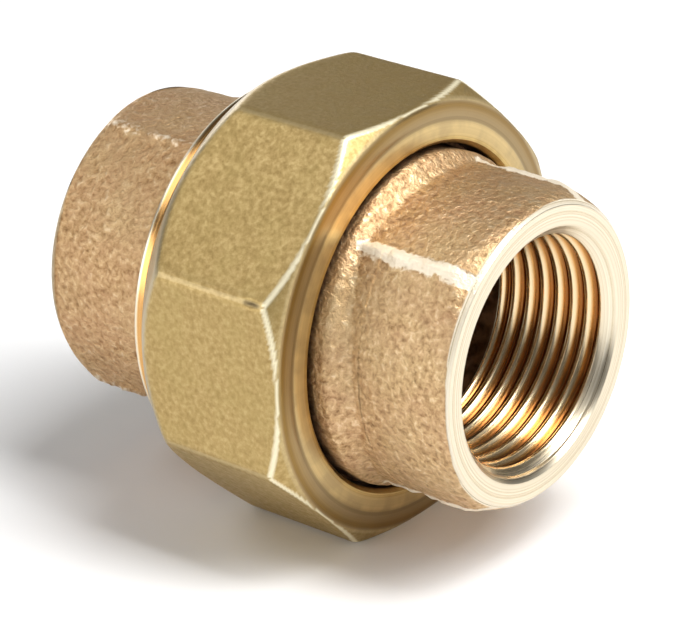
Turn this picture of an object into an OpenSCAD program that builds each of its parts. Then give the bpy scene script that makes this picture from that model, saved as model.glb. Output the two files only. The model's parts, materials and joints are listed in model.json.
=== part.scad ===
// Pipe union with a ground joint, for 1 inch pipe.
// The pipe axis is X, +Z is up, and the origin is the middle of the union.
// The tail piece is at +X and the head piece is at -X. All sizes are in millimetres.

/* [Union] */
// Length of the whole union along the pipe axis
overall_length = 63.2; // [62:0.1:65]
// How far the head piece stands out behind the nut
head_reach = 21.8; // [21.2:0.1:23]

/* [Nut] */
// Width of the eight-sided nut across its flats
nut_across_flats = 56; // [55:0.5:60]
// Height of the nut along the pipe axis
nut_height = 23; // [22.4:0.1:23.6]
// Radius of the hole that the tail piece comes out of
nut_hole_r = 22.4; // [22.3:0.05:22.8]
// Thickness of the lip that holds the tail piece's collar
lip_thickness = 4.2; // [3.6:0.1:5]

/* [Union thread] */
// Radius of the head piece's threaded end, at the middle of its thread
union_thread_r = 24.6; // [24.4:0.05:24.8]
// Length of the head piece's end inside the nut
union_engagement = 13.8; // [13:0.1:14.4]

/* [Pipe thread] */
// Radius of the wall that the pipe thread is cut in
pipe_wall_r = 14.9; // [14.7:0.05:15.2]
// Depth of the pipe thread from the mouth
pipe_thread_depth = 17; // [15:0.1:17.4]
// Radius of the cast chamber behind the pipe thread
chamber_r = 15.4; // [15.2:0.1:15.6]
// Radius of the waterway through the middle of the union
waterway_r = 13.6; // [13:0.1:14]

/* [Cast ends] */
// Distance from the axis to the middle of a wrench face on the tail piece
tail_face_r = 19.6; // [19.4:0.1:20]
// Distance from the axis to the middle of a wrench face on the head piece
head_face_r = 19.7; // [19.4:0.1:20]
// Turn of the tail piece's wrench faces about the pipe axis, in degrees
tail_turn = 97; // [0:1:180]
// Turn of the head piece's wrench faces about the pipe axis, in degrees
head_turn = 79; // [0:1:180]
// Outer radius of the machined ring around the tail piece's mouth
tail_rim_r = 19; // [18.4:0.1:19.4]
// Outer radius of the cast end around the head piece's mouth
head_rim_r = 19.8; // [19:0.1:20]

/* [Hidden] */
$fn = 96;

// Stations along the pipe axis
head_end_x = -overall_length / 2;
tail_end_x = overall_length / 2;
nut_rear_x = head_end_x + head_reach;
nut_front_x = nut_rear_x + nut_height;
lip_rear_x = nut_front_x - lip_thickness;

// Nut
nut_corner_r = nut_across_flats / 2 / cos(22.5);
nut_face_r = nut_across_flats / 2;
nut_face_land_r = nut_face_r - 3;
nut_face_dish = 0.4;
nut_front_corner_cut = 1.9;
nut_rear_face_r = nut_face_r - 0.9;
nut_rear_chamfer_angle = 40;
nut_stock_r = nut_corner_r + 0.1;
nut_rear_chamfer = (nut_stock_r - nut_rear_face_r) / tan(nut_rear_chamfer_angle);
nut_bore_r = union_thread_r + 0.25;
nut_mouth_chamfer = 1;
hole_edge_chamfer = 0.3;

// Head piece: threaded end, relief groove, machined shoulder and cone seat
head_front_x = nut_rear_x + union_engagement;
relief_r = union_thread_r - 0.7;
relief_front_x = nut_rear_x + 0.4;
shoulder_front_x = nut_rear_x - 1.4;
shoulder_rear_x = nut_rear_x - 2.8;
shoulder_r = union_thread_r + 0.6;
flare_length = 3.2;
flare_r = 19;
thread_end_chamfer = 1.2;
seat_clearance = 0.1;
seat_mouth_r = 21;
seat_depth = 4;

// Tail piece: collar behind the nut's lip, neck through the hole, cone nose
collar_clearance = 0.1;
collar_r = union_thread_r - 0.7;
collar_front_x = lip_rear_x - collar_clearance;
collar_rear_x = head_front_x + 0.5;
collar_edge_chamfer = 0.5;
neck_r = 22;
neck_front_x = nut_front_x + 1.2;
neck_fall = 2.6;
neck_foot_r = 19;
nose_root_r = seat_mouth_r - 0.5 - seat_clearance;
nose_length = 3.6;

// Cast ends: four crowned faces that meet at soft ridges
face_crown_r = 29.1;
side_crown_r = 23.4;
side_drop = 0.3;
rim_chamfer = 1;
rim_shoulder_length = 4.6;
rim_shoulder_r = 21.4;
mouth_chamfer = 2;
chamber_length = 6;
chamber_taper = 3;

bronze = [0.78, 0.64, 0.47];
brass = [0.68, 0.58, 0.34];

// A profile of [radius, x] points, turned about the pipe axis
module turned(profile) {
    rotate([0, 90, 0])
        rotate_extrude()
            polygon(profile);
}

// A cylinder along the pipe axis, whose wall passes at a distance from the axis
module crown(turn, distance, crown_r, x0, x1) {
    rotate([turn, 0, 0])
        translate([x0, distance - crown_r, 0])
            rotate([0, 90, 0])
                cylinder(r = crown_r, h = x1 - x0);
}

// The cast section: two crowned wrench faces and two crowned sides
module cast_bar(turn, face_r, x0, x1) {
    intersection() {
        crown(turn, face_r, face_crown_r, x0, x1);
        crown(turn + 180, face_r, face_crown_r, x0, x1);
        crown(turn + 90, face_r - side_drop, side_crown_r, x0, x1);
        crown(turn + 270, face_r - side_drop, side_crown_r, x0, x1);
    }
}

// A cast end from x = 0 to its mouth at x = length
module cast_end(turn, face_r, rim_r, length) {
    intersection() {
        cast_bar(turn, face_r, 0, length);
        turned([
            [0, 0],
            [rim_shoulder_r, 0],
            [rim_shoulder_r, length - rim_shoulder_length],
            [rim_r + rim_chamfer, length - rim_chamfer],
            [rim_r, length],
            [0, length]
        ]);
    }
}

// The mouth chamfer, the thread's wall, the chamber and the waterway, from x = 0 inwards to -X
module pipe_bore(length) {
    chamber_rear_x = -pipe_thread_depth - chamber_length;
    turned([
        [0, 1],
        [pipe_wall_r + mouth_chamfer + 1, 1],
        [pipe_wall_r, -mouth_chamfer],
        [pipe_wall_r, -pipe_thread_depth],
        [chamber_r, -pipe_thread_depth],
        [chamber_r, chamber_rear_x],
        [waterway_r, chamber_rear_x - chamber_taper],
        [waterway_r, -length],
        [0, -length]
    ]);
}

module head_piece() {
    reach = shoulder_rear_x - head_end_x;
    color(bronze)
        difference() {
            union() {
                translate([shoulder_rear_x, 0, 0])
                    mirror([1, 0, 0])
                        cast_end(head_turn, head_face_r, head_rim_r, reach);
                turned([
                    [0, shoulder_rear_x - flare_length],
                    [flare_r, shoulder_rear_x - flare_length],
                    [shoulder_r - 0.6, shoulder_rear_x - 0.4],
                    [shoulder_r, shoulder_rear_x],
                    [shoulder_r, shoulder_front_x],
                    [relief_r, shoulder_front_x + 0.6],
                    [relief_r, relief_front_x],
                    [union_thread_r, relief_front_x + 0.6],
                    [union_thread_r, head_front_x - thread_end_chamfer],
                    [union_thread_r - thread_end_chamfer, head_front_x],
                    [0, head_front_x]
                ]);
            }
            translate([head_end_x, 0, 0])
                mirror([1, 0, 0])
                    pipe_bore(overall_length);
            turned([
                [0, head_front_x + 1],
                [seat_mouth_r + 1, head_front_x + 1],
                [seat_mouth_r - seat_depth, head_front_x - seat_depth],
                [0, head_front_x - seat_depth]
            ]);
        }
}

module tail_piece() {
    color(bronze)
        difference() {
            union() {
                translate([neck_front_x, 0, 0])
                    cast_end(tail_turn, tail_face_r, tail_rim_r, tail_end_x - neck_front_x);
                turned([
                    [0, collar_rear_x - nose_length],
                    [nose_root_r - nose_length, collar_rear_x - nose_length],
                    [nose_root_r, collar_rear_x],
                    [collar_r - collar_edge_chamfer, collar_rear_x],
                    [collar_r, collar_rear_x + collar_edge_chamfer],
                    [collar_r, collar_front_x - collar_edge_chamfer],
                    [collar_r - collar_edge_chamfer, collar_front_x],
                    [neck_r, collar_front_x],
                    [neck_r, neck_front_x],
                    [neck_foot_r, neck_front_x + neck_fall],
                    [0, neck_front_x + neck_fall]
                ]);
            }
            translate([tail_end_x, 0, 0])
                pipe_bore(overall_length);
        }
}

module union_nut() {
    color(brass)
        difference() {
            intersection() {
                translate([nut_rear_x, 0, 0])
                    rotate([0, 90, 0])
                        rotate([0, 0, 22.5])
                            cylinder(r = nut_corner_r, h = nut_height, $fn = 8);
                turned([
                    [0, nut_rear_x],
                    [nut_rear_face_r, nut_rear_x],
                    [nut_stock_r, nut_rear_x + nut_rear_chamfer],
                    [nut_stock_r, nut_front_x - nut_face_dish - nut_front_corner_cut],
                    [nut_face_r, nut_front_x - nut_face_dish],
                    [nut_face_land_r, nut_front_x],
                    [0, nut_front_x]
                ]);
            }
            turned([
                [0, nut_rear_x - 1],
                [nut_bore_r + nut_mouth_chamfer + 1, nut_rear_x - 1],
                [nut_bore_r, nut_rear_x + nut_mouth_chamfer],
                [nut_bore_r, lip_rear_x],
                [nut_hole_r, lip_rear_x],
                [nut_hole_r, nut_front_x - hole_edge_chamfer],
                [nut_hole_r + hole_edge_chamfer + 1, nut_front_x + 1],
                [0, nut_front_x + 1]
            ]);
        }
}

head_piece();
tail_piece();
union_nut();
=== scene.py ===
"""The looks of a bronze pipe union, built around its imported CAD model.

Three pieces replace the three CAD nodes. Each is one closed skin, wrapped ring by ring about the pipe axis,
with its real screw threads cut in it, and with the grain of a sand casting or the fine rings of a lathe.
Lengths in the shape code are millimetres, and are scaled to metres when a mesh is made. Angles run about the
pipe axis, +X, from +Y towards +Z. Lights and camera are placed in metres.
"""
import json
import math

import bpy
import numpy as np
from mathutils import Matrix, Vector


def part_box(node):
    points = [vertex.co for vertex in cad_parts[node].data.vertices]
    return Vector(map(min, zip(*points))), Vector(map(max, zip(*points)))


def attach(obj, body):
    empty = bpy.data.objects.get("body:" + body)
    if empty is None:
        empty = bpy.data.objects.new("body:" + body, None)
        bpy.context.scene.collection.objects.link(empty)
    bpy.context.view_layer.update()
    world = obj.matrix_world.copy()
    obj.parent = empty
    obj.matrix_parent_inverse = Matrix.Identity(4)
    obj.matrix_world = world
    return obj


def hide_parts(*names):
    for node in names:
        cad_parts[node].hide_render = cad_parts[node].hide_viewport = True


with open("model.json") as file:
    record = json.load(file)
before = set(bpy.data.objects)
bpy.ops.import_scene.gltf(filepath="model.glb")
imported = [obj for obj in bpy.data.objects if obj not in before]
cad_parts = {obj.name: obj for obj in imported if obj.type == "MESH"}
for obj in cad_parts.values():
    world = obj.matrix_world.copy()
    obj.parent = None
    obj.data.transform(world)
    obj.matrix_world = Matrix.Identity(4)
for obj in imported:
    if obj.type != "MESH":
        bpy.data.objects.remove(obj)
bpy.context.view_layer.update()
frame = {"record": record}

MM = 0.001
FULL_TURN = 2 * math.pi

# ---------------------------------------------------------------- sizes, from the frame
head_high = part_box("head_piece")[1] / MM
tail_low, tail_high = (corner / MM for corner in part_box("tail_piece"))
nut_low, nut_high = (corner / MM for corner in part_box("union_nut"))
mounts = {mount["name"]: mount for mount in frame["record"]["mounts"]}

MOUTH_X = tail_high.x                                  # the tail's mouth; the head's is at -MOUTH_X
NOSE_X = tail_low.x
COLLAR_R = tail_high.z
HEAD_FRONT_X = head_high.x
SHOULDER_R = head_high.z
NUT_REAR_X = nut_low.x
NUT_FRONT_X = nut_high.x
NUT_FACE_R = nut_high.z
PIPE_WALL_R = mounts["tail_thread"]["dims"]["r_mm"]

# ---------------------------------------------------------------- sizes of the finer shapes
# Pipe thread and the bore behind it
PIPE_PITCH = 25.4 / 11.5
PIPE_THREAD_DEPTH = 17.0                               # how far in from the mouth the thread ends
PIPE_RUNOUT = 1.2                                      # the thread fades out over this length
PIPE_THREAD_HEIGHT = 1.0
PIPE_CREST = 0.14                                      # width of a crest, as a share of the pitch
PIPE_ROOT = 0.04
PIPE_START = 0.63                                      # where the first crest stands, as a share of the pitch
PIPE_TAPER = 1 / 32                                    # fall of the radius per millimetre
MOUTH_CHAMFER = 1.5
PIPE_BLEND = 0.12                                      # how softly the thread runs into the mouth chamfer
CHAMBER_R = 15.4
CHAMBER_LENGTH = 6.0
CHAMBER_TAPER = 3.0
WATERWAY_R = 13.6

# Union thread, which joins the nut to the head piece
UNION_PITCH = 2.309
UNION_THREAD_HEIGHT = 1.15
UNION_CREST = 0.12
UNION_CLEARANCE = 0.16
UNION_BLEND = 0.1                                      # how softly it runs into the chamfers at its ends
SHOULDER_CHAMFER = 1.2

# Cast ends
CAST_SIDES = 264                                       # points round each ring of a casting
TAIL_RIM_R = 19.0
HEAD_RIM_R = 19.8
RIM_CHAMFER = 0.6
RIM_SLOPE = 0.47                                       # rise per millimetre of the cone behind that chamfer
RIM_BLEND = 0.5                                        # how softly that cone runs into the casting
TURNED_EDGE = 0.04                                     # half the width of the border of the turned rim
CHAMFER_START = 0.05                                   # the mouth chamfer's first ring lies this far in
TAIL_FACE_R = 19.6                                     # from the axis to the middle of a wrench face
HEAD_FACE_R = 19.7
TAIL_TURN = math.radians(97)
HEAD_TURN = math.radians(79)
FACE_CROWN_R = 29.1
SIDE_CROWN_R = 23.4
SIDE_DROP = 0.3                                        # how much nearer the axis the two sides are
NECK_R = 21.7
NECK_LENGTH = 1.1                                      # how far the neck stands out of the nut, on average
NECK_SWAY = 0.7                                        # it stands out less at the wrench faces
NECK_SLOPE = 1.2                                       # fall of the radius per millimetre past the neck
NECK_BLEND = 0.7                                       # how softly the neck runs into the body
FLARE_BLEND = 2.4                                      # how softly the head's flare does
FLARE_FOOT_R = 19.0                                    # where the head's flare dies away into its body
CAST_LUMP = 0.10                                       # how far the lumps of the sand mould stand out
LUMP_R = 20.0                                          # a cast end's lumps are looked up at this radius
RIDGE_WIDTH = 0.28
RIDGE_BLEND = 0.2
RIDGE_BEAD = 0.28                                      # height of the rough bead along each cast ridge
BEAD_LUMP = 1.4                                        # how unevenly that bead stands out
TAIL_RIDGE_WEAR_AND_HIGHLIGHT = 1.0                                  # how far the ridges are rubbed bright with a painted highlight
HEAD_RIDGE_WEAR_AND_HIGHLIGHT = 0.45
HEAD_PATINA = 0.28                                     # how brown the head's cast skin is beside the tail's
CREASE_WIDTH = 0.4
CREASE_SHADE = 0.6                                     # how dark the painted shade in the crease at the foot of a cast end is
COARSE_STEP = 0.36                                     # gaps between the rings of a cast body
MIDDLE_STEP = 0.2                                      # and nearer the nut
FINE_STEP = 0.14                                       # and at the rim

# Nut
NUT_SIDES = 8
NUT_CORNER_R = NUT_FACE_R / math.cos(math.pi / NUT_SIDES)
NUT_SIDE_POINTS = 42                                   # points round each ring, along one side of the nut
NUT_HOLE_R = 22.4
HOLE_BEVEL = 0.55
LIP_THICKNESS = 4.2
LIP_REAR_X = NUT_FRONT_X - LIP_THICKNESS
NUT_BORE_R = 24.85
FRONT_CONE = (1.9, 2.31)                               # the front chamfer's length, and its rise to a corner
FRONT_DISH = (0.4, 3.0)                                # fall of the face's outer edge, and its width
REAR_LEAN = math.radians(40)
REAR_EDGE_R = NUT_FACE_R - 0.9
FACE_GROOVE_R = 25.6
FACE_GROOVE_DEPTH = 0.14
NICK_X = 8.9                                           # a knock in the edge of one of the nut's corners
NICK_TURN = math.radians(157.5)
NICK_DEPTH = 0.5
NICK_LENGTH = 1.0
NICK_WIDTH = 0.22


# ---------------------------------------------------------------- small shape functions
def soft_min(a, b, k):
    """The smaller of a and b, blended over a width k where they cross."""
    h = np.clip(1 - np.abs(a - b) / k, 0, None)
    return np.minimum(a, b) - h * h * k / 4


def soft_max(a, b, k):
    """The larger of a and b, blended over a width k where they cross."""
    return -soft_min(-a, -b, k)


def smooth_step(low, high, value):
    """0 below low and 1 above high, with a smooth rise between."""
    t = np.clip((value - low) / (high - low), 0, 1)
    return t * t * (3 - 2 * t)


def bell(offset, width):
    """1 where offset is 0, falling smoothly away to 0 over a few widths."""
    return np.exp(-(offset / width) ** 2)


def value_noise(points, size, seed):
    """Smooth noise from -1 to 1 at points, with features about size across, the same each run."""
    cells = 64
    shift = 1000.37
    table = np.random.RandomState(seed).uniform(-1, 1, (cells, cells, cells))
    at = points / size + shift
    base = np.floor(at).astype(int)
    t = at - base
    t = t * t * (3 - 2 * t)
    total = np.zeros(len(points))
    for corner in range(8):
        step = np.array([corner & 1, corner >> 1 & 1, corner >> 2 & 1])
        weight = np.prod(np.where(step, t, 1 - t), axis=1)
        index = (base + step) % cells
        total += weight * table[index[:, 0], index[:, 1], index[:, 2]]
    return total


def rounded(points, radii, steps=4):
    """A profile of (x, r) points with each inner corner turned into an arc of the radius given for it, or of
    the largest that fits."""
    path = [points[0]]
    for before, here, after, radius in zip(points, points[1:], points[2:], radii):
        a = np.subtract(before, here)
        b = np.subtract(after, here)
        length_a = np.hypot(*a)
        length_b = np.hypot(*b)
        a = a / length_a
        b = b / length_b
        half = math.acos(np.clip(np.dot(a, b), -1, 1)) / 2
        if half > math.radians(89):
            path.append(here)
            continue
        reach = min(radius / math.tan(half), 0.49 * length_a, 0.49 * length_b)
        arc_r = reach * math.tan(half)
        middle = a + b
        centre = np.asarray(here) + middle / np.hypot(*middle) * arc_r / math.sin(half)
        first = np.asarray(here) + a * reach - centre
        last = np.asarray(here) + b * reach - centre
        swing = math.pi - 2 * half
        for i in range(steps + 1):
            t = i / steps
            spoke = (math.sin((1 - t) * swing) * first + math.sin(t * swing) * last) / math.sin(swing)
            path.append(tuple(centre + spoke))
    path.append(points[-1])
    return path


def filled(path, spacing):
    """The same profile with points added so that no gap is longer than spacing."""
    dense = [path[0]]
    for start, end in zip(path, path[1:]):
        gap = math.dist(start, end)
        count = max(1, math.ceil(gap / spacing))
        for i in range(1, count + 1):
            dense.append(tuple(np.add(start, np.multiply(np.subtract(end, start), i / count))))
    return dense


# ---------------------------------------------------------------- a skin wound about the pipe axis
class Skin:
    """A closed skin about the pipe axis, made of rings that share the same angles."""

    def __init__(self, angles):
        self.angles = np.asarray(angles)
        self.x = []
        self.r = []
        self.angle = []
        self.cast = []
        self.wear_and_painted_light = []
        self.faces = []
        self.first = None
        self.last = None

    def _add(self, x, r, angle, cast, wear_and_painted_light):
        """Adds points and returns their numbers."""
        start = len(self.x)
        self.x.extend(x)
        self.r.extend(r)
        self.angle.extend(angle)
        self.cast.extend(cast)
        self.wear_and_painted_light.extend(wear_and_painted_light)
        return np.arange(start, len(self.x))

    def _bridge(self, a, b):
        """Adds the faces between two rings, given as the numbers of their points."""
        a2 = np.roll(a, -1)
        b2 = np.roll(b, -1)
        self.faces.extend(map(tuple, np.stack([a, a2, b2, b], axis=1).tolist()))

    def ring(self, x, r, cast=0.0, wear_and_painted_light=0.0):
        """Adds one ring, each argument a number or one value per angle. cast is 1 on as-cast skin. The wear
        value is 1 on ridges rubbed bright, partly wear and partly a painted highlight, and -1 in creases
        given painted shade."""
        whole = np.ones(len(self.angles))
        ids = self._add(x * whole, r * whole, self.angles, cast * whole, wear_and_painted_light * whole)
        if self.last is not None:
            self._bridge(self.last, ids)
        else:
            self.first = ids
        self.last = ids

    def profile(self, path, cast=0.0):
        """Adds a plain ring at each (x, r) of a path."""
        for x, r in path:
            self.ring(x, r, cast)

    def thread(self, x_end, pitch, start, phases, radius):
        """Goes on to x_end with rows that follow a right-hand helix, so that every crest is a clean edge.
        phases are the rows of one pitch, from 0 at a crest to 1 at the next. start is where a crest stands
        at angle 0, as a share of the pitch. radius(x, angle) is the wall."""
        x_start = self.x[self.last[0]]
        low, high = min(x_start, x_end), max(x_start, x_end)
        count = len(self.angles)
        angles = np.append(self.angles, self.angles[0] + FULL_TURN)
        turns = np.arange(math.floor(low / pitch) - 2, math.ceil(high / pitch) + 2)
        rows = (turns[:, None] + start + np.asarray(phases)[None, :]).ravel() * pitch
        x = np.clip(rows[:, None] + pitch * angles[None, :] / FULL_TURN, low, high)
        snap = 0.03 * pitch
        x = np.where(x - low < snap, low, np.where(high - x < snap, high, x))

        # Points of one column that fall at the same x are made only once
        column = np.broadcast_to(np.arange(count + 1) % count, x.shape)
        steps_per_mm = 10 ** 5
        steps_per_column = 10 ** 8
        keys = column * steps_per_column + np.round((x - low) * steps_per_mm).astype(np.int64)
        unique, where, back = np.unique(keys.ravel(), return_index=True, return_inverse=True)
        flat_x = x.ravel()[where]
        flat_column = column.ravel()[where]
        flat_angle = self.angles[flat_column]
        known = flat_x == x_start
        fresh = ~known
        plain = np.zeros(np.count_nonzero(fresh))
        ids = np.empty(len(unique), int)
        ids[known] = self.last[flat_column[known]]
        new_x = flat_x[fresh]
        new_angle = flat_angle[fresh]
        ids[fresh] = self._add(new_x, radius(new_x, new_angle), new_angle, plain, plain)
        grid = ids[back].reshape(x.shape)
        quads = np.stack([grid[:-1, :-1], grid[:-1, 1:], grid[1:, 1:], grid[1:, :-1]], axis=-1)
        for quad in quads.reshape(-1, 4).tolist():
            corners = list(dict.fromkeys(quad))
            if len(corners) > 2:
                self.faces.append(tuple(corners))
        at_end = np.flatnonzero(flat_x == x_end)
        order = np.argsort(flat_column[at_end])
        self.last = ids[at_end][order]

    def close(self):
        """Joins the last ring to the first."""
        self._bridge(self.last, self.first)

    def points(self):
        """The points in space, one row of x, y, z each."""
        x, r, angle = (np.array(v, float) for v in (self.x, self.r, self.angle))
        return np.stack([x, r * np.cos(angle), r * np.sin(angle)], axis=1)


def make_piece(name, skin, points, values, body, node, material):
    """One mesh object from a skin, with its shading values, riding on its body in place of its CAD node."""
    mesh = bpy.data.meshes.new(name)
    mesh.from_pydata((points * MM).tolist(), [], skin.faces)
    mesh.validate()
    for key, value in values.items():
        attribute = mesh.attributes.new(key, "FLOAT", "POINT")
        attribute.data.foreach_set("value", np.asarray(value, np.float32))
    mesh.materials.append(material)
    mesh.shade_smooth()
    piece = bpy.data.objects.new(name, mesh)
    bpy.context.scene.collection.objects.link(piece)
    bpy.context.view_layer.objects.active = piece
    piece.select_set(True)
    bpy.ops.object.mode_set(mode="EDIT")
    bpy.ops.mesh.select_all(action="SELECT")
    bpy.ops.mesh.normals_make_consistent(inside=False)
    bpy.ops.object.mode_set(mode="OBJECT")
    piece.select_set(False)
    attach(piece, body)
    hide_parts(node)
    return piece


def sand_lumps(x, r, angle):
    """How the lumps of a sand mould stand out, from about -1 to 1, at one ring of a casting."""
    points = np.stack([x + 0 * angle, r * np.cos(angle), r * np.sin(angle)], axis=1)
    layers = [(0.55, 3.4, 11), (0.55, 1.5, 12), (0.45, 0.8, 13)]
    return sum(height * value_noise(points, size, seed) for height, size, seed in layers)


# ---------------------------------------------------------------- threads
# The rows of points in one pitch, as shares of it: closest at the crest, which is at 0
PIPE_PHASES = [0, 0.06, 0.11, 0.17, 0.24, 0.33, 0.42, 0.5, 0.58, 0.67, 0.76, 0.83, 0.89, 0.94]
UNION_PHASES = [0, 0.06, 0.13, 0.22, 0.33, 0.44, 0.5, 0.56, 0.67, 0.78, 0.87, 0.94]


def thread_wave(x, angle, pitch, start, crest, root):
    """0 along the roots and 1 along the crests of a right-hand V thread with flattened, rounded tips."""
    phase = (x / pitch - start - angle / FULL_TURN) % 1
    away = np.abs(phase - 0.5) * 2
    rise = np.clip((away - root) / (1 - crest - root), 0, 1)
    return 0.5 * rise + 0.5 * smooth_step(0, 1, rise)


def pipe_thread_radius(side):
    """The wall of the tapered pipe thread of one mouth; side is +1 at the tail and -1 at the head."""
    def radius(x, angle):
        depth = MOUTH_X - side * x
        crest = PIPE_WALL_R - PIPE_TAPER * depth
        wave = thread_wave(x, angle, PIPE_PITCH, PIPE_START, PIPE_CREST, PIPE_ROOT)
        runout = smooth_step(PIPE_THREAD_DEPTH - PIPE_RUNOUT, PIPE_THREAD_DEPTH, depth)
        cut = crest + PIPE_THREAD_HEIGHT * (1 - runout) * (1 - wave)
        cone = PIPE_WALL_R + MOUTH_CHAMFER - depth
        return soft_max(cut, cone, PIPE_BLEND)

    return radius


def add_mouth(skin, side):
    """The inside of one end: mouth chamfer, pipe thread, cast chamber and waterway, from the rim inwards.
    side is +1 at the tail and -1 at the head."""
    skin.ring(side * (MOUTH_X - CHAMFER_START), PIPE_WALL_R + MOUTH_CHAMFER - CHAMFER_START)
    thread_end = side * (MOUTH_X - PIPE_THREAD_DEPTH)
    skin.thread(thread_end, PIPE_PITCH, PIPE_START, PIPE_PHASES, pipe_thread_radius(side))
    step = 0.6
    chamber_end = PIPE_THREAD_DEPTH + CHAMBER_LENGTH
    taper_end = chamber_end + CHAMBER_TAPER
    corners = [
        (PIPE_THREAD_DEPTH + step / 4, CHAMBER_R - step),
        (PIPE_THREAD_DEPTH + step, CHAMBER_R),
        (chamber_end, CHAMBER_R),
        (taper_end, WATERWAY_R),
        (taper_end + 2, WATERWAY_R),
    ]
    for depth, r in filled(rounded(corners, [0.3, 1.2, 1.2]), 0.5):
        x = side * (MOUTH_X - depth)
        lumps = 1.5 * CAST_LUMP * sand_lumps(x, r, skin.angles)
        skin.ring(x, r + lumps, 1.0)


def add_rim(skin, side, rim_r):
    """The turned face of one end's rim, from its outer edge to the mouth chamfer."""
    mouth_r = PIPE_WALL_R + MOUTH_CHAMFER
    rim = rounded([
        (side * (MOUTH_X - 0.3), rim_r + 0.3),
        (side * MOUTH_X, rim_r),
        (side * MOUTH_X, mouth_r),
        (side * (MOUTH_X - CHAMFER_START), mouth_r - CHAMFER_START),
    ], [0.15, 0.02], 3)
    skin.profile(filled(rim[1:-1], 0.4))


# ---------------------------------------------------------------- cast ends
def cast_section(angle, turn, face_r):
    """The radius of a cast section with two crowned wrench faces and two crowned sides, and how near each
    angle is to a ridge, from 0 to 1."""
    reaches = []
    for quarter in range(4):
        is_side = quarter % 2
        crown_r = SIDE_CROWN_R if is_side else FACE_CROWN_R
        distance = face_r - (SIDE_DROP if is_side else 0)
        centre = distance - crown_r
        lean = angle - turn - quarter * FULL_TURN / 4
        reaches.append(centre * np.cos(lean) + np.sqrt(crown_r ** 2 - (centre * np.sin(lean)) ** 2))
    ordered = np.sort(reaches, axis=0)
    on_ridge = bell(ordered[1] - ordered[0], RIDGE_WIDTH)
    return soft_min(ordered[0], ordered[1], RIDGE_BLEND), on_ridge


def cast_ring(skin, x, turn, face_r, depth, rim_r, foot_r, foot_blend, ridge_wear_and_highlight):
    """One ring of a cast end: the section or the foot, whichever stands further out, with the rim cut on it.
    depth is the distance from the rim's face."""
    section, on_ridge = cast_section(skin.angles, turn, face_r)
    above_foot = section - foot_r
    lumps = sand_lumps(x, LUMP_R, skin.angles)
    bead = RIDGE_BEAD * on_ridge * (1 + BEAD_LUMP * lumps)
    body = soft_max(section + bead, foot_r, foot_blend) + CAST_LUMP * lumps
    cone = rim_r + RIM_CHAMFER + RIM_SLOPE * (depth - RIM_CHAMFER)
    shoulder = soft_min(body, cone, RIM_BLEND)
    rim = rim_r + depth
    cast = 1 - smooth_step(-TURNED_EDGE, TURNED_EDGE, shoulder - rim)

    # Ridges are rubbed bright in patches, most of all near the foot, partly wear and partly a painted
    # highlight, and the foot's crease gets painted shade
    worn_and_highlit = on_ridge ** (0.45 - 0.3 * bell(above_foot, 0.7)) * smooth_step(-1.0, 0.0, above_foot)
    worn_and_highlit = ridge_wear_and_highlight * worn_and_highlit * np.clip(1 + 0.8 * lumps, 0, 1)
    in_crease = bell(above_foot, CREASE_WIDTH) * np.clip(0.7 + 0.8 * lumps, 0, 1)
    wear_and_painted_light = worn_and_highlit - CREASE_SHADE * in_crease * (1 - on_ridge)
    skin.ring(x, soft_min(shoulder, rim, 2 * TURNED_EDGE), cast, np.maximum(wear_and_painted_light, 1 - cast))


# ---------------------------------------------------------------- materials
def new_material(name):
    """A node material, with its tree and its shader."""
    material = bpy.data.materials.new(name)
    material.use_nodes = True
    tree = material.node_tree
    return material, tree, tree.nodes["Principled BSDF"]


def node(tree, kind, inputs=None, **settings):
    """A new node. Each input is a number, a colour or the socket that feeds it."""
    made = tree.nodes.new(kind)
    for key, value in settings.items():
        setattr(made, key, value)
    for key, value in (inputs or {}).items():
        if isinstance(value, bpy.types.NodeSocket):
            tree.links.new(value, made.inputs[key])
        else:
            made.inputs[key].default_value = value
    return made


def ramp(tree, factor, stops):
    """A colour ramp with a stop at each (position, colour)."""
    made = node(tree, "ShaderNodeValToRGB", {"Fac": factor})
    elements = made.color_ramp.elements
    while len(elements) < len(stops):
        elements.new(0.5)
    for element, (position, colour) in zip(elements, stops):
        element.position = position
        element.color = (*colour, 1)
    return made.outputs["Color"]


def mix_colour(tree, factor, a, b, blend="MIX"):
    """Colour a, going to b as the factor goes from 0 to 1. Each input is a value or a socket."""
    made = node(tree, "ShaderNodeMix", data_type="RGBA", blend_type=blend)
    for index, value in ((0, factor), (6, a), (7, b)):
        if isinstance(value, bpy.types.NodeSocket):
            tree.links.new(value, made.inputs[index])
        elif index == 0:
            made.inputs[index].default_value = value
        else:
            made.inputs[index].default_value = (*value, 1)
    return made.outputs[2]


def maths(tree, operation, a, b=0.0, c=0.0):
    """The result of one math node."""
    return node(tree, "ShaderNodeMath", {0: a, 1: b, 2: c}, operation=operation).outputs[0]


def map_range(tree, value, low, high, to_low, to_high):
    """A value moved from the range low to high to another range, and held inside it."""
    inputs = {"Value": value, "From Min": low, "From Max": high, "To Min": to_low, "To Max": to_high}
    return node(tree, "ShaderNodeMapRange", inputs).outputs["Result"]


def noise(tree, place, scale, detail, rough=0.55, distortion=0.0):
    """Noise from 0 to 1, with that many features to the metre."""
    inputs = {"Vector": place, "Scale": scale, "Detail": detail, "Roughness": rough, "Distortion": distortion}
    return node(tree, "ShaderNodeTexNoise", inputs).outputs["Fac"]


def point_value(tree, name):
    """One of the shading values kept on the points of a mesh."""
    return node(tree, "ShaderNodeAttribute", attribute_name=name).outputs["Fac"]


def mix_number(tree, factor, a, b):
    """A number that goes from a to b as the factor goes from 0 to 1."""
    return node(tree, "ShaderNodeMix", {0: factor, 2: a, 3: b}, data_type="FLOAT").outputs[0]


def scaled(tree, value, share):
    """That share of a number."""
    return maths(tree, "MULTIPLY", value, share)


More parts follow.
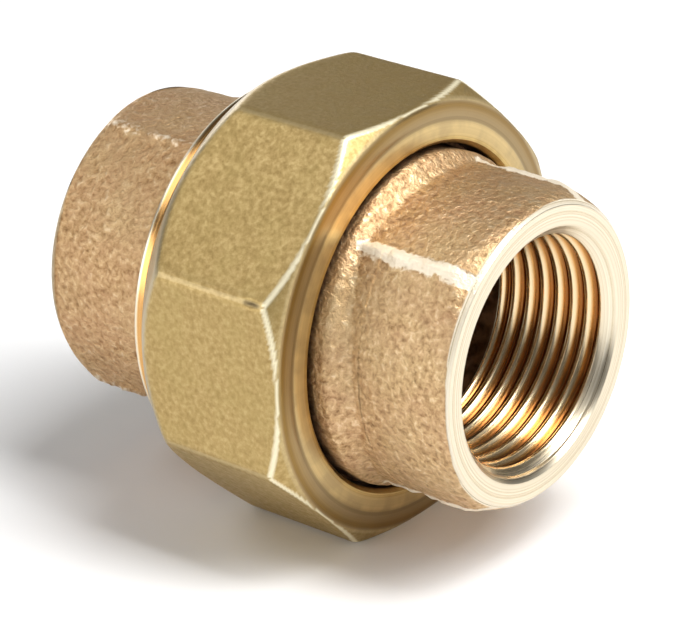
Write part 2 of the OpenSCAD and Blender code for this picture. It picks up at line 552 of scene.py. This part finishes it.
def lathe_lines(tree, place, scale):
    """Fine rings about the pipe axis, as a lathe leaves them: noise of the radius and of x only."""
    split = node(tree, "ShaderNodeSeparateXYZ", {0: place})
    y2 = maths(tree, "MULTIPLY", split.outputs["Y"], split.outputs["Y"])
    z2 = maths(tree, "MULTIPLY", split.outputs["Z"], split.outputs["Z"])
    radius = maths(tree, "SQRT", maths(tree, "ADD", y2, z2))
    flat = node(tree, "ShaderNodeCombineXYZ", {"X": split.outputs["X"], "Y": radius})
    return noise(tree, flat.outputs[0], scale, 3.0)


def bronze_material():
    """Sand-cast bronze, rough and tan, with bright turned metal where the shading value 'turned' says so."""
    material, tree, shader = new_material("cast_bronze")
    place = node(tree, "ShaderNodeTexCoord").outputs["Object"]
    turned = point_value(tree, "turned")
    hollow = point_value(tree, "hollow")
    tarnish_and_shade = point_value(tree, "tarnish_and_shade")
    wear_and_painted_light = point_value(tree, "wear_and_painted_light")
    grain = noise(tree, place, 1250.0, 4.0, 0.58, 0.25)
    blotch = noise(tree, place, 330.0, 3.0, 0.5)
    tint = noise(tree, place, 70.0, 2.0, 0.5)
    lines = lathe_lines(tree, place, 3600.0)
    worn_and_highlit = map_range(tree, maths(tree, "MULTIPLY_ADD", grain, 0.9, wear_and_painted_light), 0.80, 1.0, 0.0, 1.0)
    crease_shade = map_range(tree, wear_and_painted_light, 0.0, -1.0, 0.0, 1.0)
    in_thread = map_range(tree, tarnish_and_shade, 0.0, 0.25, 0.0, 1.0)

    # As-cast skin: grain, blotches and tints, then ridges rubbed bright with a painted highlight, tarnish,
    # painted shade in creases and dark painted shade in hollows
    skin = ramp(tree, grain, [
        (0.28, (0.27, 0.150, 0.064)),
        (0.42, (0.52, 0.335, 0.168)),
        (0.58, (0.70, 0.49, 0.268)),
        (0.74, (0.93, 0.75, 0.50)),
    ])
    skin = mix_colour(tree, map_range(tree, blotch, 0.35, 0.7, 0.0, 0.35), skin, (0.60, 0.36, 0.22))
    skin = mix_colour(tree, map_range(tree, tint, 0.4, 0.65, 0.0, 0.25), skin, (0.72, 0.60, 0.34))
    skin = mix_colour(tree, scaled(tree, worn_and_highlit, 0.78), skin, (0.98, 0.89, 0.72))
    skin = mix_colour(tree, tarnish_and_shade, skin, (0.40, 0.22, 0.09))
    # Painted shade in the crease at the foot of a cast end
    skin = mix_colour(tree, crease_shade, skin, (0.30, 0.16, 0.07))
    # Dark, mottled painted shade in the hollows: the chamber and the gap at the nut
    dark_patches = map_range(tree, blotch, 0.4, 0.6, 0.0, 1.0)
    hollow_shade = mix_colour(tree, dark_patches, (0.10, 0.05, 0.02), (0.34, 0.20, 0.11))
    skin = mix_colour(tree, hollow, skin, hollow_shade)

    # Turned metal: pale on the rims, light gold on the thread crests, and darkening to brown in the thread
    # grooves and on the head's shoulder band, which is painted shade
    bright = ramp(tree, lines, [
        (0.3, (0.62, 0.51, 0.34)),
        (0.7, (0.90, 0.82, 0.66)),
    ])
    bright = mix_colour(tree, scaled(tree, in_thread, 0.8), bright, (0.86, 0.77, 0.61))
    gold = ramp(tree, tarnish_and_shade, [
        (0.0, (1.0, 1.0, 1.0)),
        (0.3, (1.0, 0.88, 0.68)),
        (0.65, (0.76, 0.44, 0.17)),
        (1.0, (0.30, 0.12, 0.04)),
    ])
    bright = mix_colour(tree, 1.0, bright, gold, "MULTIPLY")
    tree.links.new(mix_colour(tree, turned, skin, bright), shader.inputs["Base Color"])

    rough_cast = map_range(tree, grain, 0.3, 0.75, 0.66, 0.44)
    rough_cast = maths(tree, "SUBTRACT", rough_cast, scaled(tree, worn_and_highlit, 0.15))
    rough_turned = map_range(tree, lines, 0.3, 0.7, 0.25, 0.36)
    rough_turned = maths(tree, "SUBTRACT", rough_turned, scaled(tree, in_thread, 0.07))
    tree.links.new(mix_number(tree, turned, rough_cast, rough_turned), shader.inputs["Roughness"])
    metallic = maths(tree, "SUBTRACT", 1.0, scaled(tree, worn_and_highlit, 0.65))
    tree.links.new(metallic, shader.inputs["Metallic"])

    raised = maths(tree, "SUBTRACT", 1.0, scaled(tree, worn_and_highlit, 0.35))
    cast_height = maths(tree, "MULTIPLY", grain, maths(tree, "SUBTRACT", raised, turned))
    line_height = maths(tree, "MULTIPLY", lines, scaled(tree, turned, 0.02))
    height = maths(tree, "ADD", cast_height, line_height)
    bump = node(tree, "ShaderNodeBump", {"Height": height, "Strength": 1.0, "Distance": 0.00033})
    tree.links.new(bump.outputs["Normal"], shader.inputs["Normal"])
    return material


def brass_material():
    """Yellow brass of the nut: dull flats with a fine grain, a turned face, bright edges that are partly
    burnished and partly a painted highlight, and painted shade on the face's outer band and in the hollows.
    """
    material, tree, shader = new_material("nut_brass")
    place = node(tree, "ShaderNodeTexCoord").outputs["Object"]
    edge = point_value(tree, "edge")
    turned = point_value(tree, "turned")
    inner = point_value(tree, "inner")
    hollow = point_value(tree, "hollow")
    grain = noise(tree, place, 1400.0, 4.0, 0.6)
    blotch = noise(tree, place, 300.0, 3.0, 0.5)
    lines = lathe_lines(tree, place, 5200.0)

    flat = ramp(tree, grain, [
        (0.32, (0.38, 0.262, 0.098)),
        (0.5, (0.455, 0.322, 0.130)),
        (0.7, (0.535, 0.395, 0.177)),
    ])
    flat = mix_colour(tree, map_range(tree, blotch, 0.4, 0.68, 0.0, 0.25), flat, (0.445, 0.336, 0.127))
    # The face's outer band is coloured darker than the inner one as painted shade
    outer_ring = ramp(tree, lines, [(0.3, (0.215, 0.125, 0.031)), (0.7, (0.305, 0.188, 0.054))])
    inner_ring = ramp(tree, lines, [(0.3, (0.44, 0.29, 0.095)), (0.7, (0.61, 0.43, 0.165))])
    face = mix_colour(tree, inner, outer_ring, inner_ring)
    face = mix_colour(tree, map_range(tree, blotch, 0.42, 0.62, 0.0, 0.45), face, (0.27, 0.17, 0.055))
    colour = mix_colour(tree, turned, flat, face)
    # Bright edges: partly burnish, partly a painted highlight, also over the rear chamfer
    colour = mix_colour(tree, map_range(tree, edge, 0.2, 1.0, 0.0, 0.9), colour, (0.98, 0.90, 0.64))
    # Near-black painted shade in the nut's hollows
    colour = mix_colour(tree, hollow, colour, (0.045, 0.026, 0.014))
    tree.links.new(colour, shader.inputs["Base Color"])

    rough = mix_number(tree, turned, map_range(tree, grain, 0.3, 0.7, 0.56, 0.42), 0.3)
    tree.links.new(mix_number(tree, edge, rough, 0.34), shader.inputs["Roughness"])
    metallic = maths(tree, "SUBTRACT", 0.94, scaled(tree, edge, 0.5))
    tree.links.new(metallic, shader.inputs["Metallic"])
    height = maths(tree, "MULTIPLY", grain, maths(tree, "SUBTRACT", 1.0, turned))
    bump = node(tree, "ShaderNodeBump", {"Height": height, "Strength": 0.5, "Distance": 0.00012})
    tree.links.new(bump.outputs["Normal"], shader.inputs["Normal"])
    return material


def cast_values(skin, depth, patina):
    """What the bronze material needs to know: where the skin is turned; where the chamber gets dark painted
    shade;
    how tarnished the cast skin is, with the thread grooves darkened as painted shade; and the wear and
    painted light of ridges and creases. patina is how brown the cast skin has gone."""
    cast = np.array(skin.cast)
    r = np.array(skin.r)
    # The cast chamber behind the thread is darkened as painted shade
    in_chamber = (r < CHAMBER_R + 1) * smooth_step(PIPE_THREAD_DEPTH - 0.5, PIPE_THREAD_DEPTH + 1, depth)
    groove_depth = (r - PIPE_WALL_R + PIPE_TAPER * depth) / PIPE_THREAD_HEIGHT
    inside = r < PIPE_WALL_R + 2.1
    past_chamfer = inside * smooth_step(MOUTH_CHAMFER - 0.4, MOUTH_CHAMFER + 0.6, depth)
    in_thread = past_chamfer * (depth < PIPE_THREAD_DEPTH)
    # Thread grooves are darkened as painted shade; the crests keep a light golden tint
    in_groove = in_thread * (0.25 + 0.75 * smooth_step(0.1, 0.9, groove_depth))
    tarnish_and_shade = in_groove * (1 - cast) + patina * cast
    return {"turned": 1 - cast, "hollow": in_chamber, "tarnish_and_shade": tarnish_and_shade, "wear_and_painted_light": np.array(skin.wear_and_painted_light)}


# ---------------------------------------------------------------- the tail piece
def build_tail(material):
    """The cast end with the collar inside the nut, from its ground nose along the outside and back in."""
    skin = Skin(np.linspace(0, FULL_TURN, CAST_SIDES, endpoint=False))
    collar_front = LIP_REAR_X - 0.1
    collar_rear = HEAD_FRONT_X + 0.5
    neck_end = NUT_FRONT_X + NECK_LENGTH - NECK_SWAY * np.cos(2 * (skin.angles - TAIL_TURN))
    corners = [
        (NOSE_X, WATERWAY_R),
        (NOSE_X, 16.8),
        (collar_rear - 0.1, 20.4),
        (collar_rear, 21.2),
        (collar_rear, COLLAR_R),
        (collar_front, COLLAR_R),
        (collar_front, NECK_R),
        (LIP_REAR_X + 1, NECK_R),
    ]
    skin.profile(filled(rounded(corners, [0.3, 0.3, 0.2, 0.5, 0.5, 0.2]), 0.6))

    # Neck, step and body up to the rim
    xs = np.concatenate([
        np.linspace(LIP_REAR_X + 1.4, NUT_FRONT_X, 6),
        np.arange(NUT_FRONT_X + MIDDLE_STEP, NUT_FRONT_X + 5, MIDDLE_STEP),
        np.arange(NUT_FRONT_X + 5, MOUTH_X - 3, COARSE_STEP),
        np.arange(MOUTH_X - 3, MOUTH_X - 0.05, FINE_STEP),
    ])
    for x in xs:
        neck = NECK_R - NECK_SLOPE * soft_max(x - neck_end, 0.0, 0.6)
        depth = MOUTH_X - x
        cast_ring(skin, x, TAIL_TURN, TAIL_FACE_R, depth, TAIL_RIM_R, neck, NECK_BLEND, TAIL_RIDGE_WEAR_AND_HIGHLIGHT)
    add_rim(skin, 1, TAIL_RIM_R)
    add_mouth(skin, 1)
    skin.profile(filled([(5.0, WATERWAY_R), (NOSE_X + 0.4, WATERWAY_R)], 0.8), 1.0)
    skin.close()

    points = skin.points()
    values = cast_values(skin, MOUTH_X - points[:, 0], 0.0)
    # Inside the nut and in the gap at its mouth, the tail is darkened as painted shade and loses its turned
    # colour
    in_gap = 1 - smooth_step(NUT_FRONT_X - 1.2, NUT_FRONT_X + 0.5, points[:, 0])
    values["hollow"] = np.maximum(values["hollow"], in_gap * (np.array(skin.r) > NECK_R - 2))
    values["turned"] = values["turned"] * (1 - in_gap)
    return make_piece("tail_piece_skin", skin, points, values, "tail", "tail_piece", material)


# ---------------------------------------------------------------- the head piece
def build_head(material):
    """The cast end with the union thread, from its ground seat along the outside and back in."""
    skin = Skin(np.linspace(0, FULL_TURN, CAST_SIDES, endpoint=False))
    shoulder_rear = NUT_REAR_X - 2.8
    shoulder_front = NUT_REAR_X - 1.4
    relief_front = NUT_REAR_X + 0.4
    relief_r = 23.9
    flare_rim_x = shoulder_rear - 0.4
    flare_rim_r = SHOULDER_R - 0.7
    flare_start = shoulder_rear - 3.2
    seat_depth = 4.0

    seat_corners = [
        (HEAD_FRONT_X - seat_depth, WATERWAY_R),
        (HEAD_FRONT_X - seat_depth, 17.0),
        (HEAD_FRONT_X, 21.0),
        (HEAD_FRONT_X, SHOULDER_R - SHOULDER_CHAMFER),
        (HEAD_FRONT_X - 0.1, SHOULDER_R - SHOULDER_CHAMFER + 0.1),
    ]
    skin.profile(filled(rounded(seat_corners, [0.2, 0.2, 0.05], 3), 0.6))

    def union_thread(x, angle):
        """The wall of the head's thread, from the relief groove behind it to the chamfer at its front."""
        wave = thread_wave(x, angle, UNION_PITCH, 0, UNION_CREST, UNION_CREST)
        fade = smooth_step(relief_front, relief_front + 0.9, x)
        cut = SHOULDER_R - UNION_THREAD_HEIGHT * (1 - wave) * fade - (1 - fade) * (SHOULDER_R - relief_r)
        chamfer = SHOULDER_R - SHOULDER_CHAMFER + (HEAD_FRONT_X - x)
        return soft_min(cut, chamfer, UNION_BLEND)

    skin.thread(relief_front, UNION_PITCH, 0, UNION_PHASES, union_thread)
    shoulder_corners = [
        (relief_front - 0.1, relief_r),
        (shoulder_front + 0.6, relief_r),
        (shoulder_front, SHOULDER_R),
        (shoulder_rear, SHOULDER_R),
        (flare_rim_x, flare_rim_r),
    ]
    skin.profile(filled(rounded(shoulder_corners, [0.2, 0.25, 0.35]), 0.35))

    # Flare and body back to the rim
    xs = np.concatenate([
        np.arange(shoulder_rear - 0.6, flare_start - 2.0, -MIDDLE_STEP),
        np.arange(flare_start - 2.0, -MOUTH_X + 2, -COARSE_STEP),
        np.arange(-MOUTH_X + 2, -MOUTH_X + 0.05, -FINE_STEP),
    ])
    for x in xs:
        rise = (x - flare_start) / (flare_rim_x - flare_start)
        flare = FLARE_FOOT_R + (flare_rim_r - FLARE_FOOT_R) * rise
        depth = x + MOUTH_X
        cast_ring(skin, x, HEAD_TURN, HEAD_FACE_R, depth, HEAD_RIM_R, flare, FLARE_BLEND, HEAD_RIDGE_WEAR_AND_HIGHLIGHT)
    add_rim(skin, -1, HEAD_RIM_R)
    add_mouth(skin, -1)
    skin.profile(filled([(-4.0, WATERWAY_R), (HEAD_FRONT_X - seat_depth - 0.4, WATERWAY_R)], 0.8), 1.0)
    skin.close()

    points = skin.points()
    x = points[:, 0]
    r = np.array(skin.r)
    values = cast_values(skin, MOUTH_X + x, HEAD_PATINA)
    # The band on the shoulder behind the nut and the grooves of the union thread are darkened as painted
    # shade
    on_shoulder = smooth_step(shoulder_rear + 0.25, shoulder_rear + 0.45, x)
    on_shoulder = on_shoulder * (x < NUT_REAR_X) * (r > SHOULDER_R - 1.2)
    groove = smooth_step(0.1, 0.9, (SHOULDER_R - r) / UNION_THREAD_HEIGHT)
    in_thread = (x > relief_front) * (r > NUT_HOLE_R) * (0.25 + 0.6 * groove)
    values["tarnish_and_shade"] = np.maximum.reduce([values["tarnish_and_shade"], 0.62 * on_shoulder, in_thread])
    return make_piece("head_piece_skin", skin, points, values, "head", "head_piece", material)


# ---------------------------------------------------------------- the nut
# Places of some walls in the list that nut_walls gives
FLAT = 0
NEXT_FLAT = 1
CONE_WALL = 2
FRONT_WALL = 4
REAR_CONE_WALL = 5
WALL_BLENDS = [0.9, 0.6, 0.3, 0.2, 0.6, 0.4]           # how softly each wall but the first meets the others


def nut_walls(x, r, angle):
    """How far a point lies outside each wall of the nut: flats, chamfers and faces. Negative is inside."""
    sector = FULL_TURN / NUT_SIDES
    lean = (angle + sector / 2) % sector - sector / 2
    flat = r * np.cos(lean) - NUT_FACE_R
    next_flat = r * np.cos(sector - np.abs(lean)) - NUT_FACE_R
    cone_length, cone_rise = FRONT_CONE
    dish_fall, dish_width = FRONT_DISH
    out = r - NUT_FACE_R
    ahead = x - (NUT_FRONT_X - dish_fall)
    front_cone = (out * cone_length + ahead * cone_rise) / math.hypot(cone_length, cone_rise)
    front_dish = (ahead * dish_width + out * dish_fall) / math.hypot(dish_width, dish_fall)
    front = x - NUT_FRONT_X + FACE_GROOVE_DEPTH * bell(r - FACE_GROOVE_R, 0.35)
    rear_cone = (r - REAR_EDGE_R) * math.cos(REAR_LEAN) - (x - NUT_REAR_X) * math.sin(REAR_LEAN)
    rear = NUT_REAR_X - x
    return [flat, next_flat, front_cone, front_dish, front, rear_cone, rear]


def nut_level(x, r, angle):
    """The blended distance to the nut's outside, how bright its edges are at each point (partly burnish and
    partly a painted highlight, and a painted highlight over the whole rear chamfer), and the number of the
    wall that each point lies on."""
    walls = nut_walls(x, r, angle)
    level = walls[FLAT]
    for wall, width in zip(walls[1:], WALL_BLENDS):
        level = soft_max(level, wall, width)
    heights = np.stack(walls)
    order = np.argsort(heights, axis=0)
    highest, second = order[-1], order[-2]
    gap = np.take_along_axis(heights, highest[None], 0) - np.take_along_axis(heights, second[None], 0)
    flat_meets_cone = (np.minimum(highest, second) <= NEXT_FLAT) & (np.maximum(highest, second) == CONE_WALL)
    shine = np.where(flat_meets_cone, 1.0, 0.3)
    edge = shine * (1 - smooth_step(0.12, 0.55, gap[0]))
    # The whole rear chamfer is made half bright as a painted highlight
    return level, np.where(highest == REAR_CONE_WALL, 0.5, edge), highest


def nut_outside(target_x, target_r, angle):
    """Where a ray from the middle of the nut's section, through a target, meets the outside, as x and r,
    with the edge brightness (burnish and painted highlight) and the wall there."""
    centre_x = (NUT_FRONT_X + NUT_REAR_X) / 2
    centre_r = 24.0
    way_x = target_x - centre_x
    way_r = target_r - centre_r
    low = np.zeros(len(angle))
    high = np.full(len(angle), 3.0)
    halvings = 40
    for _ in range(halvings):
        middle = (low + high) / 2
        level = nut_level(centre_x + way_x * middle, centre_r + way_r * middle, angle)[0]
        outside = level > 0
        high = np.where(outside, middle, high)
        low = np.where(outside, low, middle)
    x = centre_x + way_x * low
    r = centre_r + way_r * low
    return x, r, *nut_level(x, r, angle)[1:]


def nut_angles(per_side):
    """Angles with more of them near the nut's corners than near the middle of its flats."""
    t = np.linspace(-1, 1, per_side, endpoint=False)
    lean = math.pi / NUT_SIDES * (0.45 * t + 0.55 * np.sin(t * math.pi / 2))
    return np.concatenate([lean + side * FULL_TURN / NUT_SIDES for side in range(NUT_SIDES)])


def nut_outline():
    """A rough section of the nut's outside, from the face's inner edge round to the rear face. It only aims
    the rings, so its corners may stand out of the nut."""
    stock_r = NUT_CORNER_R + 0.1
    dish_fall, dish_width = FRONT_DISH
    corners = [
        (NUT_FRONT_X, NUT_HOLE_R + HOLE_BEVEL + 0.5),
        (NUT_FRONT_X, NUT_FACE_R - dish_width),
        (NUT_FRONT_X - dish_fall, NUT_FACE_R),
        (NUT_FRONT_X - 2.3, stock_r),
        (NUT_REAR_X + 3.9, stock_r),
        (NUT_REAR_X, REAR_EDGE_R),
        (NUT_REAR_X, NUT_BORE_R + 1.2),
    ]
    return filled(corners, 0.26)


def nut_thread(x, angle):
    """The wall of the nut's thread, with its run-out before the lip and its chamfer at the mouth."""
    wave = thread_wave(x, angle, UNION_PITCH, 0, UNION_CREST, UNION_CREST)
    fade = 1 - smooth_step(LIP_REAR_X - 1.6, LIP_REAR_X - 0.6, x)
    cut = SHOULDER_R + UNION_CLEARANCE - UNION_THREAD_HEIGHT * (1 - wave) * fade
    return soft_max(cut, NUT_BORE_R + 1 - (x - NUT_REAR_X), UNION_BLEND)


def build_nut(material):
    """The nut, from the hole in its lip over the outside to the rear, and back through the thread."""
    angles = nut_angles(NUT_SIDE_POINTS)
    skin = Skin(angles)
    hole_edge = [
        (LIP_REAR_X + 0.3, NUT_HOLE_R),
        (NUT_FRONT_X - HOLE_BEVEL, NUT_HOLE_R),
        (NUT_FRONT_X, NUT_HOLE_R + HOLE_BEVEL),
        (NUT_FRONT_X, NUT_HOLE_R + HOLE_BEVEL + 0.3),
    ]
    skin.profile(filled(rounded(hole_edge, [0.12, 0.12], 3), 0.5))
    first_outside = len(skin.x)
    edges = []
    walls = []
    for target_x, target_r in nut_outline():
        ring_x, ring_r, ring_edge, ring_wall = nut_outside(target_x, target_r, angles)
        skin.ring(ring_x, ring_r)
        edges.extend(ring_edge)
        walls.extend(ring_wall)
    last_outside = len(skin.x)
    mouth = [
        (NUT_REAR_X, NUT_BORE_R + 1.05),
        (NUT_REAR_X + 0.05, NUT_BORE_R + 0.95),
    ]
    skin.profile(mouth)
    skin.thread(LIP_REAR_X - 0.3, UNION_PITCH, 0, UNION_PHASES, nut_thread)
    inner_corners = [
        (LIP_REAR_X - 0.2, SHOULDER_R + 0.1),
        (LIP_REAR_X, SHOULDER_R - 0.2),
        (LIP_REAR_X, NUT_HOLE_R + 0.2),
        (LIP_REAR_X + 0.2, NUT_HOLE_R),
    ]
    skin.profile(filled(inner_corners, 0.6))
    skin.close()

    # What the points lie on
    points = skin.points()
    x, r, angle = (np.array(v) for v in (skin.x, skin.r, skin.angle))
    outside = slice(first_outside, last_outside)
    edge = np.zeros(len(points))
    edge[outside] = edges
    wall = np.full(len(points), FRONT_WALL)
    wall[outside] = walls
    is_flat = wall <= NEXT_FLAT
    inside = np.arange(len(points)) >= last_outside

    # Low lumps on the flats and the knock in one edge, pressed in from the outside
    lumps = 0.6 * value_noise(points, 3.0, 21) + 0.4 * value_noise(points, 1.2, 22)
    nick = bell(x - NICK_X, NICK_LENGTH) * bell((angle - NICK_TURN) * r, NICK_WIDTH) * is_flat
    sink = 0.02 * (1 + lumps) * is_flat * (1 - edge) + NICK_DEPTH * nick
    out = np.stack([np.zeros(len(points)), np.cos(angle), np.sin(angle)], axis=1)
    points = points - sink[:, None] * out

    # Painted shade, near black: the face groove, the thread inside, the hole and the nick
    groove = bell(r - FACE_GROOVE_R, 0.22) * (np.abs(x - NUT_FRONT_X) < 0.3)
    in_hole = (r < NUT_HOLE_R + 0.1) * (1 - smooth_step(NUT_FRONT_X - 1.8, NUT_FRONT_X - HOLE_BEVEL, x))
    values = {
        "edge": edge,
        "turned": (wall > CONE_WALL).astype(float),
        "inner": 1 - smooth_step(FACE_GROOVE_R - 0.3, FACE_GROOVE_R, r),
        "hollow": np.maximum.reduce([0.4 * groove, 0.8 * inside, in_hole, 0.8 * nick]),
    }
    return make_piece("union_nut_skin", skin, points, values, "nut", "union_nut", material)


# ---------------------------------------------------------------- the stage: floor, light and camera
def build_stage():
    """The plain pale floor that the nut rests on."""
    floor_mesh = bpy.data.meshes.new("floor")
    reach = 1.5
    height = nut_low.z * MM
    corners = [(x * reach, y * reach, height) for x, y in ((-1, -1), (1, -1), (1, 1), (-1, 1))]
    floor_mesh.from_pydata(corners, [], [(0, 1, 2, 3)])
    floor = bpy.data.objects.new("floor", floor_mesh)
    bpy.context.scene.collection.objects.link(floor)
    material, _, shader = new_material("floor")
    shader.inputs["Base Color"].default_value = (0.9, 0.9, 0.9, 1)
    shader.inputs["Roughness"].default_value = 0.8
    floor_mesh.materials.append(material)


def aim(source, target):
    """A matrix that places a light at source, facing target."""
    forward = (Vector(target) - Vector(source)).normalized()
    return Matrix.Translation(source) @ forward.to_track_quat("-Z", "Y").to_matrix().to_4x4()


# Soft area lights: name, place, width and height, and power
LIGHTS = [
    ("overhead", (0.30, 0.08, 0.85), (0.35, 0.35), 5.6),
    ("mouth_side", (0.57, 0.12, 0.68), (0.40, 0.40), 5.0),
    ("left", (-0.50, -0.73, 0.11), (0.60, 0.50), 2.85),
    ("high_left", (-0.51, -0.30, 0.67), (0.42, 0.42), 1.5),
    ("back_left", (-0.76, 0.45, 0.14), (0.50, 0.40), 1.5),
    ("front", (0.09, -0.82, 0.36), (0.50, 0.40), 0.7),
    ("mouth_low", (0.80, 0.29, 0.30), (0.25, 0.25), 1.6),
]


def build_lights():
    """A dim white world and the area lights, all facing the middle of the union."""
    world = bpy.data.worlds.new("studio")
    bpy.context.scene.world = world
    world.use_nodes = True
    background = world.node_tree.nodes["Background"]
    background.inputs["Color"].default_value = (1, 1, 1, 1)
    background.inputs["Strength"].default_value = 0.10
    for name, place, size, power in LIGHTS:
        lamp = bpy.data.lights.new(name, "AREA")
        lamp.shape = "RECTANGLE"
        lamp.size, lamp.size_y = size
        lamp.energy = power
        light = bpy.data.objects.new(name, lamp)
        bpy.context.scene.collection.objects.link(light)
        light.matrix_world = aim(place, (0, 0, 0))


def build_camera():
    """The camera, a little above the union on the tail's side, with a long lens and a slight roll."""
    azimuth, elevation, roll = (math.radians(a) for a in (39.11, 25.58, -1.61))
    target = Vector((5.88, -5.35, 0.25)) * MM
    distance = 0.443
    back = Vector((
        math.sin(azimuth) * math.cos(elevation),
        -math.cos(azimuth) * math.cos(elevation),
        math.sin(elevation),
    ))
    right = Vector((math.cos(azimuth), math.sin(azimuth), 0))
    up = back.cross(right)
    right = math.cos(roll) * right + math.sin(roll) * up
    up = back.cross(right)
    data = bpy.data.cameras.new("camera")
    data.sensor_width = 36
    data.lens = 181.7
    data.clip_start = 0.01
    camera = bpy.data.objects.new("camera", data)
    bpy.context.scene.collection.objects.link(camera)
    rotation = Matrix((right, up, back)).transposed().to_4x4()
    camera.matrix_world = Matrix.Translation(target + back * distance) @ rotation
    bpy.context.scene.camera = camera


build_camera()
bronze = bronze_material()
brass = brass_material()
build_tail(bronze)
build_head(bronze)
build_nut(brass)
build_stage()
build_lights()
bpy.context.scene.view_settings.view_transform = "Standard"
